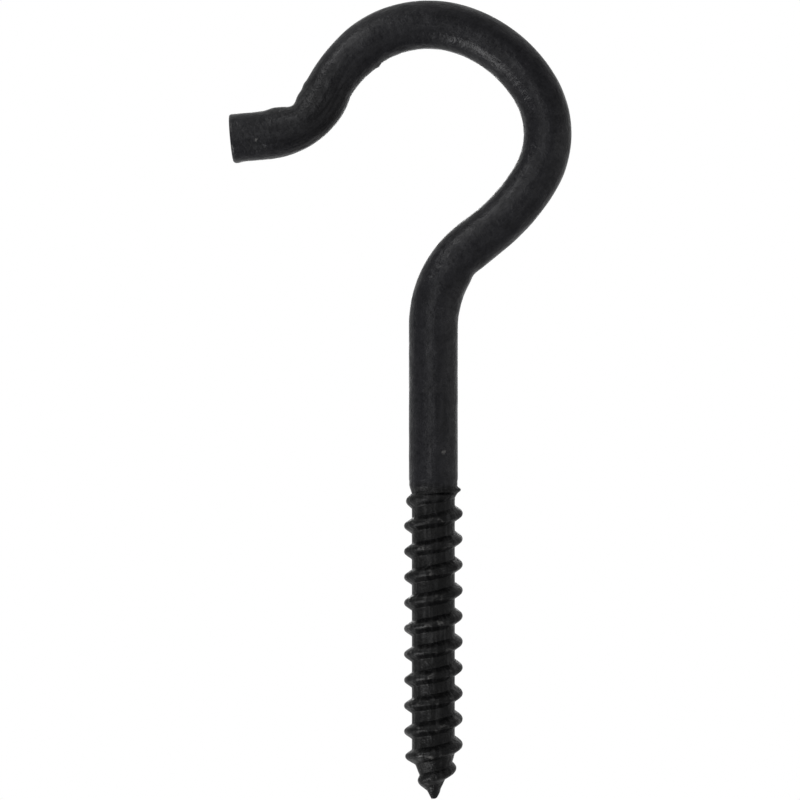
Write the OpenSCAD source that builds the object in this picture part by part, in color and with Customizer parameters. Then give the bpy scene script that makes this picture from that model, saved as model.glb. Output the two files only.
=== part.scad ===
// Ceiling hook: one length of round wire with a wood screw thread rolled on one end
// and a deep open bowl bent into the other.
// Units are millimetres. The origin is on the screw axis where the thread meets the plain
// shank, which is the face of the ceiling. +Z runs up the screw to its point, the bowl hangs
// below, and the free end of the bowl points to +X.

/* [Wire] */
// Diameter of the round wire
wire_d = 6.35; // [6:0.05:7]
// Plain length between the ceiling and the neck bend
shank_len = 21.2; // [12:0.1:40]

/* [Neck] */
// Inside radius of the bend that leads the wire off to one side
neck_r = 10.1; // [6:0.1:14]
// Turn of the neck bend in degrees
neck_turn = 51.5; // [44:0.5:58]
// Straight length between the neck and the bowl
link_len = 2.9; // [0.5:0.1:8]

/* [Bowl] */
// Inside radius of the slack bend that runs down from the neck
slack_r = 22.8; // [16:0.1:30]
// Turn of the slack bend in degrees
slack_turn = 20.6; // [14:0.1:28]
// Inside radius of the tight bend at the far side
side_r = 8.25; // [5:0.05:12]
// Turn of the tight bend in degrees
side_turn = 60.9; // [54:0.1:68]
// Inside radius of the bend that leads down into the seat
lead_r = 14.4; // [10:0.1:20]
// Turn of the bend that leads into the seat in degrees
lead_turn = 41; // [34:0.5:48]
// Inside radius of the seat, which carries the load and comes up to the mouth
seat_r = 11.1; // [8:0.1:15]
// Turn of the seat in degrees
seat_turn = 85.7; // [76:0.1:94]

/* [Free end] */
// Inside radius of the outward bend near the free end
tip_r = 6.65; // [4:0.05:10]
// Turn of the outward bend in degrees
tip_turn = 61.6; // [40:0.1:80]
// Depth of the crease pressed into the inside of the outward bend
crease_depth = 0.6; // [0:0.05:1]
// Straight length of the free end
end_len = 4.7; // [2:0.1:12]
// Width of the worn edge around the cut face
end_edge = 0.35; // [0.1:0.05:0.8]

/* [Thread] */
// Length of the thread with its point
thread_len = 41.15; // [25:0.05:60]
// Rise of the thread in one turn
thread_pitch = 3.38; // [2.9:0.02:4]
// Diameter between the ridges
root_d = 5.65; // [5:0.05:5.95]
// Diameter over the ridges
crest_d = 7.75; // [6.8:0.05:8.6]
// Width of one ridge at its foot
ridge_w = 2; // [1.6:0.05:2.8]
// Width of the flat on top of the ridge
crest_w = 0.35; // [0.1:0.05:0.8]
// Length of the slope from the shank down to the thread root
shoulder_len = 1.05; // [0.4:0.05:2]
// Height over which the first ridge grows out of the shank
runout_len = 1.2; // [0.6:0.1:4]
// Length of the tapered point
point_len = 6.1; // [4:0.1:12]
// Diameter of the blunt tip
tip_d = 0.55; // [0.3:0.05:1]

/* [Hidden] */

// Facets around the wire, degrees of bend in one facet and facets in one turn of thread
around = 20;
bend_step = 5;
turn_steps = 14;

// Share of one turn by which the ridge starts below the ceiling face
ridge_lead = 0.185;
// Powers that round off the point and let the ridge die away along it
point_curve = 1.3;
fade_curve = 3.2;
// Half-width of the crease as a share of its bend
crease_share = 0.13;

wire_r = wire_d / 2;
root_r = root_d / 2;
blunt_r = tip_d / 2;
ridge_h = (crest_d - root_d) / 2;

// The ridge starts at the back of the wire and reaches the +X side three quarters of a turn on
start_z = -ridge_lead * thread_pitch;
crest_z = start_z + 0.75 * thread_pitch;
// The point starts at point_z, and the ridge begins to die away a little before it
point_z = thread_len - point_len;
fade_z = point_z - point_len / 3;

// Screw

// Angle of the ridge around the screw axis at height z, right-handed
function ridge_angle(z) = 360 * (z - crest_z) / thread_pitch;

// Ridge with straight flanks, 1 on its flat top and 0 at its foot, at a height dz from the crest
function ridge_form(dz) = min(1, max(0, (ridge_w / 2 - abs(dz)) / ((ridge_w - crest_w) / 2)));

// Part of the full ridge height where the crest is at height z
function ridge_grow(z) = min(1, max(0, (z - start_z) / runout_len));
function ridge_fade(z) = z < fade_z ? 1
    : max(0, 1 - pow((z - fade_z) / (thread_len - fade_z), fade_curve));

// Radius of the slope under the shank, and of the screw's core
function slope_r(z) = wire_r - (wire_r - root_r) * min(1, max(0, z / shoulder_len));
function core_r(z) = z < point_z ? root_r
    : blunt_r + (root_r - blunt_r) * (1 - pow((z - point_z) / point_len, point_curve));

// Radius of the screw at height z and at dz above the nearest crest
function ridge_r(z, dz) = core_r(z) + ridge_h * ridge_form(dz) * ridge_grow(z - dz) * ridge_fade(z - dz);
function screw_r(z, dz) = z < point_z ? max(slope_r(z), ridge_r(z, dz)) : ridge_r(z, dz);

// One ring of points that turns with the ridge, so that point 0 always lies on the crest
function screw_ring(z) = [for (j = [0 : around - 1])
    let (part = j / around, dz = (part > 0.5 ? 1 - part : -part) * thread_pitch)
    let (a = ridge_angle(z) + 360 * part, r = screw_r(z, dz))
    [r * cos(a), r * sin(a), z]];

// The blunt tip is a plain ring, and the last ring is where the plain wire begins
screw_n = ceil((thread_len - start_z) / thread_pitch * turn_steps);
screw_step = (thread_len - start_z) / screw_n;
tip_ring = [for (j = [0 : around - 1])
    let (a = ridge_angle(thread_len) + 360 * j / around)
    [blunt_r * cos(a), blunt_r * sin(a), thread_len]];
screw_rings = [for (i = [1 : screw_n]) screw_ring(thread_len - i * screw_step)];

// Wire path

// Each stretch is [signed turn in degrees, centre radius or straight length, crease depth]
stretches = [
    [0, shank_len + start_z, 0],
    [-neck_turn, neck_r + wire_r, 0],
    [0, link_len, 0],
    [slack_turn, slack_r + wire_r, 0],
    [side_turn, side_r + wire_r, 0],
    [lead_turn, lead_r + wire_r, 0],
    [seat_turn, seat_r + wire_r, 0],
    [-tip_turn, tip_r + wire_r, crease_depth],
    [0, end_len - end_edge, 0]];

// Place [x, z, heading] after a part f of the stretch q that begins at the place p
function along(p, q, f) = q[0] == 0
    ? [p[0] + q[1] * f * cos(p[2]), p[1] + q[1] * f * sin(p[2]), p[2]]
    : let (h = p[2] + q[0] * f, r = sign(q[0]) * q[1])
        [p[0] + r * (sin(h) - sin(p[2])), p[1] + r * (cos(p[2]) - cos(h)), h];

// Place where stretch i begins
function begins(i) = i == 0 ? [0, start_z, 270] : along(begins(i - 1), stretches[i - 1], 1);

// Ring of radius r across the wire at the place p, pressed in by d on the right-hand side
function wire_ring(p, r, d) = [for (j = [0 : around - 1])
    let (a = ridge_angle(start_z) + 360 * j / around, c = cos(a))
    let (u = c < 0 ? (r - d) * c : r * c)
    [p[0] - u * sin(p[2]), r * sin(a), p[1] + u * cos(p[2])]];

// Depth of the crease at a part f of the stretch q, deepest in the middle
function crease(q, f) = q[2] * exp(-pow((f - 0.5) / crease_share, 2));

function stretch_rings(i) = let (q = stretches[i], p = begins(i))
    let (n = max(1, ceil(abs(q[0]) / bend_step)))
    [for (k = [1 : n]) wire_ring(along(p, q, k / n), wire_r, crease(q, k / n))];

wire_rings = [for (i = [0 : len(stretches) - 1]) each stretch_rings(i)];
end_place = along(begins(len(stretches)), [0, end_edge, 0], 1);
end_ring = wire_ring(end_place, wire_r - end_edge, 0);

// Skin over all the rings, closed by a fan at the screw point and another at the cut face
rings = concat([tip_ring], screw_rings, wire_rings, [end_ring]);
ring_n = len(rings);
tip_i = ring_n * around;
face_i = tip_i + 1;
end_i = tip_i - around;
skin_points = concat([for (g = rings) each g],
    [[0, 0, thread_len], [end_place[0], 0, end_place[1]]]);
skin_faces = [
    for (i = [0 : ring_n - 2], j = [0 : around - 1])
        let (k = (j + 1) % around, a = i * around + j, b = i * around + k)
        each [[a, b, b + around], [a, b + around, a + around]],
    for (j = [0 : around - 1])
        let (k = (j + 1) % around)
        each [[tip_i, k, j], [face_i, end_i + j, end_i + k]]];

module ceiling_hook() {
    color([0.1, 0.1, 0.11])
        polyhedron(points = skin_points, faces = skin_faces, convexity = 8);
}

ceiling_hook();
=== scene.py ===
"""Studio picture of a black ceiling hook: its skin with the marks of forming, coating, camera and lights."""

import math
from types import SimpleNamespace

import bpy
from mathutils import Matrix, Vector, noise


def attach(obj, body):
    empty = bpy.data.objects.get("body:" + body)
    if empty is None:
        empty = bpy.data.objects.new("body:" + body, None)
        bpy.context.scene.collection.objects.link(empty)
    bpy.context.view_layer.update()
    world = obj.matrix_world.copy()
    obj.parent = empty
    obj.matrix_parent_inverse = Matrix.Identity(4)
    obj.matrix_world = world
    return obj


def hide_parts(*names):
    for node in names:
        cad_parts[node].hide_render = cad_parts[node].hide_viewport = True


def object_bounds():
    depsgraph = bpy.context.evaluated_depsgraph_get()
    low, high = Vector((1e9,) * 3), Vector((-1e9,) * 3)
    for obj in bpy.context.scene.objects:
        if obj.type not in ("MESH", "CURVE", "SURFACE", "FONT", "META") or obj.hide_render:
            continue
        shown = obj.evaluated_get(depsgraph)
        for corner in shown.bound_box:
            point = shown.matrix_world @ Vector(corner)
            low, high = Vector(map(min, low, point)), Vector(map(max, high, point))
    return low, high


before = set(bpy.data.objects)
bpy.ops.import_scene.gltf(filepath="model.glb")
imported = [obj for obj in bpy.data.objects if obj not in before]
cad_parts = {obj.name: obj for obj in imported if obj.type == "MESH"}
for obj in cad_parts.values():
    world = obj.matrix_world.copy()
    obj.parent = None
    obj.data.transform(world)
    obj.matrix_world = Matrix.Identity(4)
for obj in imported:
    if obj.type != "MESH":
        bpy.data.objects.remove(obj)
cad_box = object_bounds()

# Wire and screw in millimetres: the path is the solid's, and the ridge is a little fuller and rounder
MM = 0.001
WIRE_R = 3.175
SHANK_LEN = 21.2
THREAD_LEN = 41.15
PITCH = 3.38
ROOT_R = 2.85
CREST_R = 3.875
SHOULDER_LEN = 1.05
RUNOUT_LEN = 2.6
POINT_LEN = 6.1
BLUNT_R = 0.275

# Half-width of the ridge at its foot and at its top, and the rounding there as a share of its height
RIDGE_FOOT = 0.98
FOOT_ROUND = 0.08
RIDGE_TOP = 0.32
TOP_ROUND = 0.3

# The ridge starts at the back of the wire, a share of one turn below the ceiling, and comes round to the
# +X side three quarters of a turn later. Two powers round off the point and let the ridge die away on it.
RIDGE_LEAD = 0.185
START_Z = -RIDGE_LEAD * PITCH
CREST_Z = START_Z + 0.75 * PITCH
POINT_Z = THREAD_LEN - POINT_LEN
POINT_CURVE = 1.3
FADE_Z = POINT_Z - POINT_LEN / 3
FADE_CURVE = 3.2

# Worn edge around the cut face, and the crease in one bend with its half-width as a share of that bend
END_EDGE = 0.35
CREASED = "outward bend"
CREASE_DEPTH = 0.6
CREASE_SHARE = 0.13

# Heading of the screw and the shank in degrees
DOWN = 270

# Wire path from the screw to the free end: name, signed turn in degrees, centre radius or straight length
STRETCHES = [
    ("shank", 0, SHANK_LEN + START_Z),
    ("neck", -51.5, 10.1 + WIRE_R),
    ("link", 0, 2.9),
    ("slack bend", 20.6, 22.8 + WIRE_R),
    ("tight bend", 60.9, 8.25 + WIRE_R),
    ("lead", 41, 14.4 + WIRE_R),
    ("seat", 85.7, 11.1 + WIRE_R),
    ("outward bend", -61.6, 6.65 + WIRE_R),
    ("free end", 0, 4.7 - END_EDGE),
]

# Fineness of the skin
AROUND = 80
RING_GAP = 0.25
RINGS_PER_TURN = 40
EDGE_STEPS = 4
SHARP_ANGLE = 50

# Sides of the wire in degrees: towards the inside of the bowl, and away from it
INNER = 0
OUTER = 180

# Marks that the bending tools left: distance along the wire, half-length, side, half-angle, height
FORMING_MARKS = [
    (24.0, 3.2, OUTER, 45, 0.09),  # swell inside the neck
    (29.8, 1.2, OUTER, 50, -0.20),  # flat pressed by the neck tool
    (86.6, 3.4, OUTER, 50, -0.20),  # flat outside the end of the seat
    (83.3, 0.5, INNER, 35, 0.16),  # burr inside the seat
    (84.6, 1.5, INNER, 40, 0.13),  # swell beside the burr
    (90.2, 1.8, INNER, 50, -0.18),  # flat where the outward bend starts
    (91.6, 0.9, OUTER, 40, 0.18),  # burr before the crease
    (99.7, 1.6, OUTER, 45, 0.23),  # bulge after the crease
    (52.0, 6.0, OUTER, 60, -0.03),  # stretched outside of the tight bend
    (105.5, 0.6, INNER, 55, 0.13),  # lip at the cut end
]
# Half-lengths beyond which a mark is too faint to count
MARK_REACH = 3

# The screw is scuffed all over, and the outward bend half as much where a die held it
SCUFF_AT = 94
SCUFF_HALF = 6
BEND_SCUFF = 0.5

# Slight waviness of the wire, and its noise scale along the wire
WAVINESS = 0.03
WAVE_SCALE = 0.3

# The shank and the neck are a little thicker than the bowl, down to a distance along the wire
SHANK_SWELL = 0.05
SWELL_END = 36

# The crest is uneven, and its coating is worn where it stands out most
CREST_WEAR = 0.05
CREST_SCALE = 1.7
CREST_POWER = 3

# The cut face is worn at its border and less so further in
FACE_BORDER = 0.5
FACE_WORN = 0.2

# Where the thread starts it is pushed up towards the point, and its first turn is low on the +X side
START_PUSH = 0.4
PUSH_FADE = 0.5 * PITCH
START_LOW = 0.25
LOW_HALF = 0.25 * PITCH

# Spur of metal that the thread rolls pushed out at the shoulder, on the -X side
SPUR_Z = 0.55
SPUR_H = 0.46
SPUR_HALF = 0.38
SPUR_SIDE = 180
SPUR_ANGLE = 25

# Narrow fold in front, between the shoulder and the first ridge
FOLD_Z = 0.98
FOLD_DEPTH = 0.36
FOLD_HALF = 0.17
FOLD_SIDE = 250
FOLD_ANGLE = 45


def blob(offset, half):
    """Smooth bump, 1 in the middle, near 0 at twice its half-width."""
    return math.exp(-((offset / half) ** 2))


def held(value):
    """Value held between 0 and 1."""
    return min(1, max(0, value))


def rounded(value, rounding):
    """Value where it is over zero and zero elsewhere, with a rounded corner between."""
    return 0.5 * (value + math.sqrt(value * value + rounding * rounding))


def turn_apart(a, b):
    """Least angle between two directions in degrees."""
    return abs((a - b + 180) % 360 - 180)


def ridge_angle(z):
    """Angle of the right-handed ridge around the screw axis at height z, in degrees."""
    return 360 * (z - CREST_Z) / PITCH


def ridge_rise(dz):
    """Rise of the ridge before its rounded top is brought up to full height."""
    slope = (RIDGE_FOOT - abs(dz)) / (RIDGE_FOOT - RIDGE_TOP)
    return 1 - rounded(1 - rounded(slope, FOOT_ROUND), TOP_ROUND)


def ridge_form(dz):
    """Ridge with a rounded top, straight flanks and crisp corners at its foot, 1 on top and 0 beside it."""
    return ridge_rise(dz) / ridge_rise(0)


def ridge_share(crest, dz):
    """Share of the full ridge at dz above a crest: it grows at the start and dies away on the point."""
    push = START_PUSH * math.exp(-max(0, crest) / PUSH_FADE)
    share = ridge_form(dz - push) * held((crest - START_Z) / RUNOUT_LEN)
    share *= 1 - START_LOW * blob(crest - CREST_Z, LOW_HALF)
    if crest > FADE_Z:
        share *= max(0, 1 - ((crest - FADE_Z) / (THREAD_LEN - FADE_Z)) ** FADE_CURVE)
    return share


def core_radius(z):
    """Radius of the screw between its ridges, which narrows along the point."""
    if z <= POINT_Z:
        return ROOT_R
    return BLUNT_R + (ROOT_R - BLUNT_R) * (1 - ((z - POINT_Z) / POINT_LEN) ** POINT_CURVE)


def screw_radius(z, dz, side):
    """Radius of the screw at height z and at dz above the nearest crest, on one side in degrees."""
    turn = math.radians(side)
    spot = Vector((math.cos(turn), math.sin(turn), z / PITCH)) * CREST_SCALE
    height = CREST_R - ROOT_R - CREST_WEAR * abs(noise.noise(spot))
    radius = core_radius(z) + height * ridge_share(z - dz, dz)
    radius += SPUR_H * blob(z - SPUR_Z, SPUR_HALF) * blob(turn_apart(side, SPUR_SIDE), SPUR_ANGLE)
    if z < SHOULDER_LEN:
        radius = max(radius, WIRE_R - (WIRE_R - ROOT_R) * max(0, z / SHOULDER_LEN))
    return radius - FOLD_DEPTH * blob(z - FOLD_Z, FOLD_HALF) * blob(turn_apart(side, FOLD_SIDE), FOLD_ANGLE)


def wire_radius(s, side):
    """Radius of the wire at distance s along it and on one side, with the marks of forming."""
    radius = WIRE_R + SHANK_SWELL * held((SWELL_END - s) / WIRE_R)
    for at, half, mark_side, half_angle, height in FORMING_MARKS:
        if abs(s - at) < MARK_REACH * half:
            radius += height * blob(s - at, half) * blob(turn_apart(side, mark_side), half_angle)
    turn = math.radians(side)
    spot = Vector((math.cos(turn), math.sin(turn), s * WAVE_SCALE))
    return radius - WAVINESS * abs(noise.noise(spot))


def along(place, turn, size, part=1):
    """Place (x, z, heading) after a part of a stretch that begins at a place."""
    x, z, heading = place
    h0 = math.radians(heading)
    if turn == 0:
        return x + size * part * math.cos(h0), z + size * part * math.sin(h0), heading
    h1 = math.radians(heading + turn * part)
    r = math.copysign(size, turn)
    x += r * (math.sin(h1) - math.sin(h0))
    z += r * (math.cos(h0) - math.cos(h1))
    return x, z, heading + turn * part


def skin_point(polar, place, s, worn, crease=0):
    """Point of the skin, its point on the unbent wire, and how far the coating is worn there."""
    r, side = polar
    x, z, heading = place
    turn = math.radians(side)
    h = math.radians(heading)
    u = r * math.cos(turn)
    v = r * math.sin(turn)
    if u < 0:
        u *= 1 - crease / WIRE_R
    spot = (x - u * math.sin(h), v, z + u * math.cos(h))
    grip = min(r, WIRE_R)
    unbent = (grip * math.cos(turn), grip * math.sin(turn), s)
    return spot, unbent, worn


def screw_rings():
    """Rings of skin points from the blunt tip down to where the plain wire begins."""
    count = math.ceil((THREAD_LEN - START_Z) / PITCH * RINGS_PER_TURN)
    rings = []
    for i in range(count + 1):
        z = THREAD_LEN + (START_Z - THREAD_LEN) * i / count
        ring = []
        for j in range(AROUND):
            part = j / AROUND
            dz = (1 - part if part > 0.5 else -part) * PITCH
            side = ridge_angle(z) + 360 * part
            r = BLUNT_R if i == 0 else screw_radius(z, dz, side)
            worn = max(0, (r - WIRE_R) / (CREST_R - WIRE_R)) ** CREST_POWER
            ring.append(skin_point((r, side), (0, z, DOWN), START_Z - z, worn))
        rings.append(ring)
    return rings


def wire_ring(place, s, crease=0, shrink=0, worn=0):
    """Ring of skin points across the wire, pressed in on the outer side where it is creased."""
    ring = []
    for j in range(AROUND):
        side = (ridge_angle(START_Z) + 360 * j / AROUND) % 360
        r = wire_radius(s, side) - shrink
        ring.append(skin_point((r, side), place, s, worn, crease))
    return ring


def wire_rings():
    """Rings of skin points along the wire from the screw to the cut face."""
    place = (0, START_Z, DOWN)
    s = 0
    rings = []
    for name, turn, size in STRETCHES:
        length = size if turn == 0 else size * math.radians(abs(turn))
        count = max(2, round(length / RING_GAP))
        for k in range(1, count + 1):
            part = k / count
            crease = CREASE_DEPTH * blob(part - 0.5, CREASE_SHARE) if name == CREASED else 0
            rings.append(wire_ring(along(place, turn, size, part), s + length * part, crease))
        place = along(place, turn, size)
        s += length
    return rings + end_rings(place, s)


def end_rings(place, s):
    """Rings over the worn edge of the free end, and one further in on its cut face."""
    rings = []
    for k in range(1, EDGE_STEPS + 1):
        a = math.pi / 2 * k / EDGE_STEPS
        out = END_EDGE * math.sin(a)
        shrink = END_EDGE * (1 - math.cos(a))
        rings.append(wire_ring(along(place, 0, out), s + out, shrink=shrink, worn=1))
    face = along(place, 0, END_EDGE)
    rings.append(wire_ring(face, s + END_EDGE, shrink=END_EDGE + FACE_BORDER, worn=FACE_WORN))
    return rings


def skin_faces(count):
    """Faces between neighbouring rings, and one that closes each end."""
    faces = []
    for i in range(count - 1):
        for j in range(AROUND):
            a = i * AROUND + j
            b = i * AROUND + (j + 1) % AROUND
            faces.append((a, a + AROUND, b + AROUND, b))
    end = (count - 1) * AROUND
    faces.append(tuple(range(AROUND)))
    faces.append(tuple(end + j for j in reversed(range(AROUND))))
    return faces


def scuff(s):
    """How dull the coating is at distance s along the wire: all over the screw and at the outward bend."""
    return max(BEND_SCUFF * blob(s - SCUFF_AT, SCUFF_HALF), held(-s / SHOULDER_LEN))


def hook_skin():
    """One closed mesh over the screw and the wire, which notes at each point what the coating needs."""
    rings = screw_rings() + wire_rings()
    points = [p for ring in rings for p in ring]
    mesh = bpy.data.meshes.new("hook_skin")
    mesh.from_pydata([Vector(spot) * MM for spot, unbent, worn in points], [], skin_faces(len(rings)))
    mesh.attributes.new("unbent", "FLOAT_VECTOR", "POINT")
    mesh.attributes.new("worn", "FLOAT", "POINT")
    mesh.attributes.new("scuffed", "FLOAT", "POINT")
    for i, (spot, unbent, worn) in enumerate(points):
        mesh.attributes["unbent"].data[i].vector = unbent
        mesh.attributes["worn"].data[i].value = worn
        mesh.attributes["scuffed"].data[i].value = scuff(unbent[2])
    mesh.shade_smooth()
    mesh.set_sharp_from_angle(angle=math.radians(SHARP_ANGLE))
    skin = bpy.data.objects.new("hook_skin", mesh)
    bpy.context.scene.collection.objects.link(skin)
    return skin


def node(tree, kind, links=(), **values):
    """Adds a shader node, sets its named inputs or properties, and links inputs to outputs."""
    made = tree.nodes.new(kind)
    for name, value in values.items():
        if name in made.inputs:
            made.inputs[name].default_value = value
        else:
            setattr(made, name, value)
    for name, output in links:
        tree.links.new(output, made.inputs[name])
    return made


def noted(tree, name, output="Fac"):
    """What the skin notes under a name."""
    return node(tree, "ShaderNodeAttribute", attribute_name=name).outputs[output]


def spread(tree, value, span, to=(0.0, 1.0)):
    """Maps a span of a value to another, held at both ends."""
    made = node(tree, "ShaderNodeMapRange", [("Value", value)], clamp=True)
    made.inputs["From Min"].default_value = span[0]
    made.inputs["From Max"].default_value = span[1]
    made.inputs["To Min"].default_value = to[0]
    made.inputs["To Max"].default_value = to[1]
    return made.outputs[0]


def maths(tree, operation, a, b):
    """Joins two values, each an output or a number."""
    made = node(tree, "ShaderNodeMath", operation=operation)
    for i, value in enumerate((a, b)):
        if isinstance(value, (int, float)):
            made.inputs[i].default_value = value
        else:
            tree.links.new(value, made.inputs[i])
    return made.outputs[0]


def vectors(tree, operation, where, by, output=0):
    """Joins a vector output with a fixed vector."""
    made = node(tree, "ShaderNodeVectorMath", [(0, where)], operation=operation)
    made.inputs[1].default_value = by
    return made.outputs[output]


def blend(tree, factor, a, b):
    """Mixes two colours, each an output or a colour."""
    made = node(tree, "ShaderNodeMix", [("Factor", factor)], data_type="RGBA")
    for name, value in (("A", a), ("B", b)):
        socket = [s for s in made.inputs if s.name == name and s.type == "RGBA"][0]
        if isinstance(value, tuple):
            socket.default_value = value
        else:
            tree.links.new(value, socket)
    return [s for s in made.outputs if s.type == "RGBA"][0]


def bump(tree, height, depth, under=None):
    """Relief of a depth in millimetres, over another relief if there is one."""
    made = node(tree, "ShaderNodeBump", [("Height", height)], Strength=1.0, Distance=depth * MM)
    if under:
        tree.links.new(under, made.inputs["Normal"])
    return made.outputs[0]


# Grain of the coating: noise scale for each millimetre of the unbent wire, and levels of detail
MOTTLE = (0.45, 5.0)
PITS = (1.5, 3.0)
FINE = (4.5, 2.0)
DRAWN = (2.2, 3.0)
DRAWN_OUT = (1, 1, 0.08)
GRAIN_CONTRAST = 0.6

# Spans of the noise from which the looks below are mapped
MOTTLE_SPAN = (0.35, 0.65)
FINE_SPAN = (0.3, 0.7)
DRAWN_SPAN = (0.35, 0.65)
WORN_SPAN = (0.57, 0.72)
TONE_SPAN = (0.38, 0.62)
WHOLE = (0.0, 1.0)

# Shares of the grain in the coating's tone, and what dark streaks add to it where it is scuffed
MOTTLE_TONE = 0.3
PITS_TONE = 0.3
FINE_TONE = 0.2
DRAWN_TONE = 0.2
STREAKS = (-0.25, 0.05)

# Colours of the coating, plain and scuffed, and of the steel under it, whose grey also paints two highlights
# on the thread's crest
DEEP_BLACK = (0.0012, 0.0012, 0.0018, 1)
PALE_BLACK = (0.0048, 0.0048, 0.0060, 1)
DEEP_GREY = (0.0013, 0.0013, 0.0014, 1)
PALE_GREY = (0.0050, 0.0050, 0.0052, 1)
BARE_STEEL_AND_GLINT = (0.045, 0.044, 0.043, 1)

# Roughness by the mottle and the fine grain, specular level by the tone, and how scuffing changes them
DULLNESS = (0.42, 0.28)
FINE_DULLNESS = (-0.06, 0.06)
SCUFF_DULLNESS = 0.05
SHEEN = (0.073, 0.127)
SCUFF_SHEEN = (1, 0.93)

# Depth of the grain in millimetres, and how much deeper lines and pits are where it is scuffed
MOTTLE_DEPTH = 0.22
DRAWN_DEPTH = 0.03
PITS_DEPTH = 0.08
FINE_DEPTH = 0.015
SCUFF_LINES = (1, 3)
SCUFF_PITS = (1, 2)

# Chips where bare steel shows, and two painted highlights on the thread's crest, as points on the unbent
# wire, and their radius in millimetres
CHIPS_AND_GLINTS = [
    ((-1.27, -2.91, 3.8), 0.3),
    ((0.74, -3.09, 102.7), 0.2),
    ((-2.45, -2.02, 98.6), 0.14),
    # The last two are painted highlights: pale grey spots on the thread's crest near the point
    ((-2.85, -1.40, -31.5), 0.5),
    ((0.43, -3.14, -35.9), 0.25),
]
CHIP_AND_GLINT_CORE = 0.5


def grain(tree, where, kind):
    """Noise of a scale and detail, in millimetres of the unbent wire."""
    scale, detail = kind
    made = node(
        tree, "ShaderNodeTexNoise", [("Vector", where)], Scale=scale, Detail=detail, Roughness=GRAIN_CONTRAST
    )
    return made.outputs["Fac"]


def coating_parts(tree):
    """What the coating is made from: its place, its wear, and noise of four kinds."""
    where = noted(tree, "unbent", "Vector")
    return SimpleNamespace(
        where=where,
        worn=noted(tree, "worn"),
        scuffed=noted(tree, "scuffed"),
        mottle=grain(tree, where, MOTTLE),
        pits=grain(tree, where, PITS),
        fine=grain(tree, where, FINE),
        drawn=grain(tree, vectors(tree, "MULTIPLY", where, DRAWN_OUT), DRAWN),
    )


def bare_steel_and_glints(tree, parts):
    """Where the steel shows, 0 to 1: in the pits of worn edges and in ragged chips, and where highlights are
    painted on the thread's crest.
    """
    bare_and_glint = maths(tree, "MULTIPLY", parts.worn, spread(tree, parts.pits, WORN_SPAN))
    # Each spot is a chip of bare steel, or on the thread's crest a painted highlight
    for spot, radius in CHIPS_AND_GLINTS:
        apart = vectors(tree, "DISTANCE", parts.where, spot, "Value")
        ragged = maths(tree, "ADD", apart, spread(tree, parts.fine, FINE_SPAN, (-radius, radius)))
        chip_and_glint = spread(tree, ragged, (CHIP_AND_GLINT_CORE * radius, radius), (1.0, 0.0))
        bare_and_glint = maths(tree, "MAXIMUM", bare_and_glint, chip_and_glint)
    return bare_and_glint


def coating_shade(tree, parts):
    """From deep to pale, 0 to 1, by all the grain together and by streaks where it is scuffed."""
    tone = maths(tree, "MULTIPLY", parts.scuffed, spread(tree, parts.drawn, DRAWN_SPAN, STREAKS))
    tone = maths(tree, "ADD", tone, maths(tree, "MULTIPLY", parts.mottle, MOTTLE_TONE))
    tone = maths(tree, "ADD", tone, maths(tree, "MULTIPLY", parts.pits, PITS_TONE))
    tone = maths(tree, "ADD", tone, maths(tree, "MULTIPLY", parts.fine, FINE_TONE))
    tone = maths(tree, "ADD", tone, maths(tree, "MULTIPLY", parts.drawn, DRAWN_TONE))
    return spread(tree, tone, TONE_SPAN)


def coating_colour(tree, parts, shade):
    """Colour of the coating, with bare steel where it is gone, and painted highlights of the same grey on
    the thread's crest.
    """
    plain = blend(tree, shade, DEEP_BLACK, PALE_BLACK)
    scuffed = blend(tree, shade, DEEP_GREY, PALE_GREY)
    return blend(tree, bare_steel_and_glints(tree, parts), blend(tree, parts.scuffed, plain, scuffed), BARE_STEEL_AND_GLINT)


def coating_roughness(tree, parts):
    """Roughness of the coating."""
    dull = spread(tree, parts.mottle, MOTTLE_SPAN, DULLNESS)
    dull = maths(tree, "ADD", dull, spread(tree, parts.fine, FINE_SPAN, FINE_DULLNESS))
    return maths(tree, "ADD", dull, maths(tree, "MULTIPLY", parts.scuffed, SCUFF_DULLNESS))


def coating_sheen(tree, parts, shade):
    """Specular level of the coating, a little lower where it is scuffed."""
    scuffed = spread(tree, parts.scuffed, WHOLE, SCUFF_SHEEN)
    return maths(tree, "MULTIPLY", spread(tree, shade, WHOLE, SHEEN), scuffed)


def coating_relief(tree, parts):
    """Relief of the mottle, the drawn lines, the pits and the fine grain, one over the other."""
    lines = maths(tree, "MULTIPLY", parts.drawn, spread(tree, parts.scuffed, WHOLE, SCUFF_LINES))
    pits = maths(tree, "MULTIPLY", parts.pits, spread(tree, parts.scuffed, WHOLE, SCUFF_PITS))
    relief = bump(tree, parts.mottle, MOTTLE_DEPTH)
    relief = bump(tree, lines, DRAWN_DEPTH, relief)
    relief = bump(tree, pits, PITS_DEPTH, relief)
    return bump(tree, parts.fine, FINE_DEPTH, relief)


def coating():
    """Satin black coating: mottled sheen, fine grain, lines along the wire, worn edges, chips and painted
    highlights on the thread's crest.
    """
    mat = bpy.data.materials.new("black_coating")
    mat.use_nodes = True
    tree = mat.node_tree
    shader = tree.nodes["Principled BSDF"]
    parts = coating_parts(tree)
    shade = coating_shade(tree, parts)
    tree.links.new(coating_colour(tree, parts, shade), shader.inputs["Base Color"])
    tree.links.new(coating_roughness(tree, parts), shader.inputs["Roughness"])
    tree.links.new(coating_sheen(tree, parts, shade), shader.inputs["Specular IOR Level"])
    tree.links.new(coating_relief(tree, parts), shader.inputs["Normal"])
    return mat


# Camera: level with the hook, in front of it, and rolled half a turn so that the screw points down.
# The wire is WIRE_PIXELS wide in a square picture of PICTURE pixels.
WIRE_PIXELS = 48.3
PICTURE = 800
CAMERA_FAR = 370
VIEW_CENTRE = (4.385, -11.24)
SENSOR = 36


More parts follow.
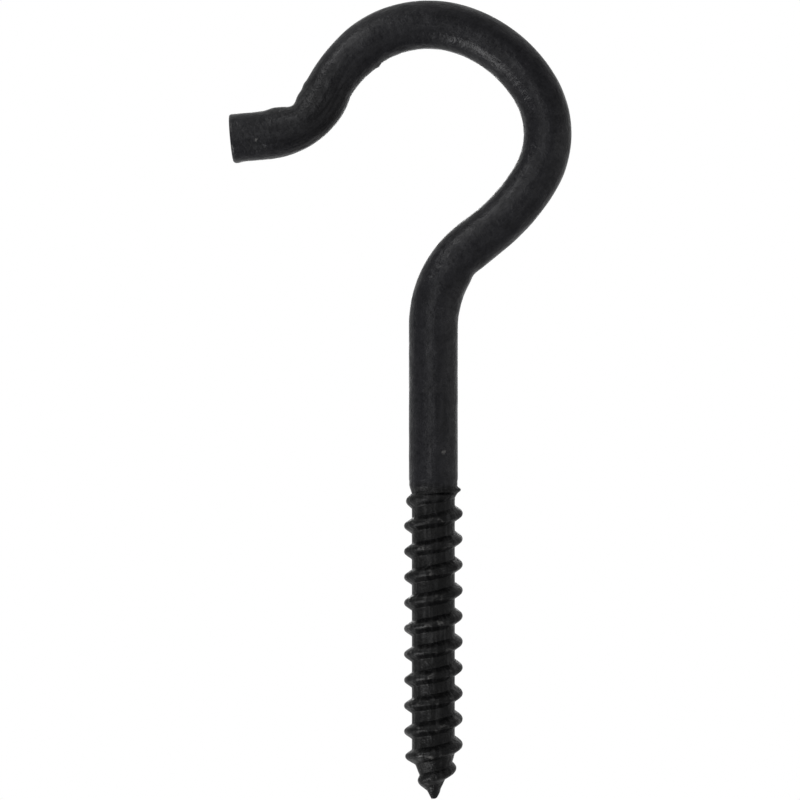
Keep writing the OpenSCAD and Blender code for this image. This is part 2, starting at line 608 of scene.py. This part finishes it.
def add_camera():
    """Camera at the photograph's viewing angle."""
    view_width = PICTURE * 2 * WIRE_R / WIRE_PIXELS
    data = bpy.data.cameras.new("camera")
    data.sensor_width = SENSOR
    data.lens = SENSOR * CAMERA_FAR / view_width
    camera = bpy.data.objects.new("camera", data)
    camera.location = Vector((VIEW_CENTRE[0], -CAMERA_FAR, VIEW_CENTRE[1])) * MM
    camera.rotation_euler = (math.radians(90), math.radians(180), 0)
    bpy.context.scene.collection.objects.link(camera)
    bpy.context.scene.camera = camera


# Lights: name, direction from the hook, power in watts
LIGHTS = [
    ("key_high", (0.56, -0.41, 0.72), 1.15),
    ("key_low", (0.55, -0.41, -0.73), 0.5),
    ("near_camera", (0.25, -0.96, 0.0), 0.22),
    ("near_low", (0.29, -0.82, -0.5), 0.21),
    ("near_right", (-0.36, -0.86, 0.36), 0.06),
    ("right", (-0.71, -0.71, 0.0), 0.085),
    ("far_right", (-0.98, -0.2, 0.0), 0.105),
    ("behind", (0.0, 0.98, -0.18), 0.24),
]
LIGHT_FAR = 300
LIGHT_SIZE = 130
AIM = Vector((4.3, 0, -20)) * MM

# Colours and levels of the surround
WHITE = (1, 1, 1, 1)
BLACK = (0, 0, 0, 1)
AMBIENT = 0.3


def add_light(name, direction, power):
    """Square soft light that looks at the hook and isn't seen by the camera."""
    data = bpy.data.lights.new(name, "AREA")
    data.energy = power
    data.size = LIGHT_SIZE * MM
    light = bpy.data.objects.new(name, data)
    light.location = AIM + Vector(direction).normalized() * LIGHT_FAR * MM
    light.rotation_euler = (AIM - light.location).to_track_quat("-Z", "Y").to_euler()
    light.visible_camera = False
    bpy.context.scene.collection.objects.link(light)


def seen_rays(tree):
    """1 for what the camera sees straight on, in a reflection or through glass, and 0 for other light."""
    path = node(tree, "ShaderNodeLightPath")
    seen = path.outputs["Is Camera Ray"]
    for ray in ("Is Glossy Ray", "Is Transmission Ray"):
        seen = maths(tree, "MAXIMUM", seen, path.outputs[ray])
    return seen


def add_world():
    """White behind the hook for the camera and for reflections, a dimmer even light for everything else."""
    world = bpy.data.worlds.new("studio")
    bpy.context.scene.world = world
    world.use_nodes = True
    tree = world.node_tree
    tree.nodes.clear()
    out = node(tree, "ShaderNodeOutputWorld")
    mix = node(tree, "ShaderNodeMixShader")
    white = node(tree, "ShaderNodeBackground", Color=WHITE, Strength=1.0)
    dim = node(tree, "ShaderNodeBackground", Color=WHITE, Strength=AMBIENT)
    tree.links.new(seen_rays(tree), mix.inputs[0])
    tree.links.new(dim.outputs[0], mix.inputs[1])
    tree.links.new(white.outputs[0], mix.inputs[2])
    tree.links.new(mix.outputs[0], out.inputs["Surface"])


# Floor in millimetres: how far it lies below the hook, its radius, and where it fades to white
FLOOR_DROP = 240
FLOOR_R = 1500
FLOOR_FADE = (300, 1100)
FLOOR_SIDES = 96
FLOOR_GLOW = 0.5
FLOOR_PALE = (0.8, 0.8, 0.8, 1)
FLOOR_ROUGHNESS = 0.9


def pale_floor():
    """Pale matt floor, lifted towards white where it is seen and white far out."""
    mat = bpy.data.materials.new("pale_floor")
    mat.use_nodes = True
    tree = mat.node_tree
    shader = tree.nodes["Principled BSDF"]
    where = node(tree, "ShaderNodeTexCoord").outputs["Object"]
    out = node(tree, "ShaderNodeVectorMath", [(0, where)], operation="LENGTH").outputs["Value"]
    far = spread(tree, out, (FLOOR_FADE[0] * MM, FLOOR_FADE[1] * MM))
    glow = maths(tree, "MULTIPLY", seen_rays(tree), spread(tree, far, WHOLE, (FLOOR_GLOW, 1)))
    tree.links.new(blend(tree, far, FLOOR_PALE, BLACK), shader.inputs["Base Color"])
    tree.links.new(glow, shader.inputs["Emission Strength"])
    shader.inputs["Emission Color"].default_value = WHITE
    shader.inputs["Specular IOR Level"].default_value = 0
    shader.inputs["Roughness"].default_value = FLOOR_ROUGHNESS
    return mat


def add_floor():
    """Round floor well below the hanging hook."""
    bpy.ops.mesh.primitive_circle_add(vertices=FLOOR_SIDES, radius=FLOOR_R * MM, fill_type="NGON")
    floor = bpy.context.object
    floor.name = "floor"
    floor.location = (0, 0, cad_box[0][2] - FLOOR_DROP * MM)
    floor.data.materials.append(pale_floor())


bpy.context.scene.view_settings.view_transform = "Standard"
skin = hook_skin()
skin.data.materials.append(coating())
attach(skin, "root")
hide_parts("ceiling_hook")
add_camera()
for light in LIGHTS:
    add_light(*light)
add_world()
add_floor()
